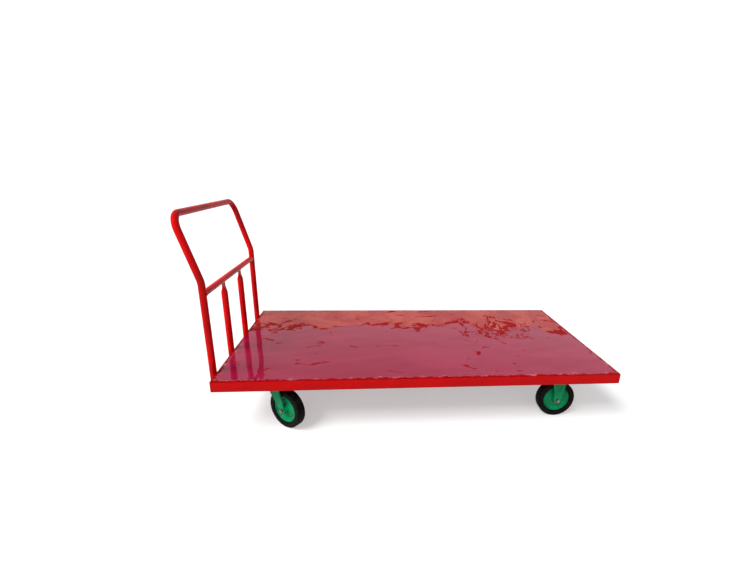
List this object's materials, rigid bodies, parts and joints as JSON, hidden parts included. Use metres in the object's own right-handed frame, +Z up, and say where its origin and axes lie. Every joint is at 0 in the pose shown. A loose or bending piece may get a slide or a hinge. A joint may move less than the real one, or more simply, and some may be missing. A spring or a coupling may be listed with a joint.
{
  "type": "platform hand cart",
  "caption": "Flat steel platform cart with an angle frame, a bent tube push handle with spindles, and swivel and rigid casters on rubber tyres.",
  "frame": {"origin": "on the floor, under the middle of the whole cart's length and width", "axes": "+Z up, +X from the handle to the front end, +Y to the left of someone pushing"},
  "size_m": [2.1184, 1.0138, 1.039],
  "materials": {
    "red_enamel": "gloss enamel, wet",
    "green_enamel": "gloss enamel on pressed steel",
    "tyre_rubber": "worn black rubber with road dust",
    "zinc": "zinc plated"
  },
  "bodies": {
    "platform": {"deck_sheet": "red_enamel", "side_rail_left": "red_enamel", "side_rail_right": "red_enamel", "end_rail_handle": "red_enamel", "end_rail_front": "red_enamel", "cross_member_1": "red_enamel", "cross_member_2": "red_enamel", "cross_member_3": "red_enamel", "cross_member_4": "red_enamel", "cross_member_5": "red_enamel", "caster_pad_handle_left": "red_enamel", "caster_pad_handle_right": "red_enamel", "caster_pad_front_left": "red_enamel", "caster_pad_front_right": "red_enamel", "handle_tube": "red_enamel", "handle_crossbar": "red_enamel", "spindle_left": "red_enamel", "spindle_right": "red_enamel", "upright_welds": "red_enamel", "swivel_plate_left": "green_enamel", "kingpin_left": "zinc", "rigid_plate_left": "green_enamel", "rigid_fork_left": "green_enamel", "rigid_axle_left": "zinc", "swivel_plate_right": "green_enamel", "kingpin_right": "zinc", "rigid_plate_right": "green_enamel", "rigid_fork_right": "green_enamel", "rigid_axle_right": "zinc"},
    "swivel_left": {"swivel_fork_left": "green_enamel", "swivel_axle_left": "zinc"},
    "handle_end_wheel_left": {"swivel_wheel_left": "green_enamel", "swivel_tyre_left": "tyre_rubber"},
    "front_wheel_left": {"rigid_wheel_left": "green_enamel", "rigid_tyre_left": "tyre_rubber"},
    "swivel_right": {"swivel_fork_right": "green_enamel", "swivel_axle_right": "zinc"},
    "handle_end_wheel_right": {"swivel_wheel_right": "green_enamel", "swivel_tyre_right": "tyre_rubber"},
    "front_wheel_right": {"rigid_wheel_right": "green_enamel", "rigid_tyre_right": "tyre_rubber"}
  },
  "joints": [
    {"name": "swivel_turn_left", "type": "hinge", "parent": "platform", "child": "swivel_left", "pos_m": [-0.66075, 0.4, 0.21], "axis": [0, 0, 1], "continuous": true},
    {"name": "handle_end_wheel_spin_left", "type": "hinge", "parent": "swivel_left", "child": "handle_end_wheel_left", "pos_m": [-0.61675, 0.433, 0.1], "axis": [-0.6, 0.8, 0], "continuous": true},
    {"name": "front_wheel_spin_left", "type": "hinge", "parent": "platform", "child": "front_wheel_left", "pos_m": [0.77925, 0.4, 0.1], "axis": [0, 1, 0], "continuous": true},
    {"name": "swivel_turn_right", "type": "hinge", "parent": "platform", "child": "swivel_right", "pos_m": [-0.66075, -0.4, 0.21], "axis": [0, 0, 1], "continuous": true},
    {"name": "handle_end_wheel_spin_right", "type": "hinge", "parent": "swivel_right", "child": "handle_end_wheel_right", "pos_m": [-0.61675, -0.433, 0.1], "axis": [0.6, 0.8, 0], "continuous": true},
    {"name": "front_wheel_spin_right", "type": "hinge", "parent": "platform", "child": "front_wheel_right", "pos_m": [0.77925, -0.4, 0.1], "axis": [0, 1, 0], "continuous": true}
  ]
}
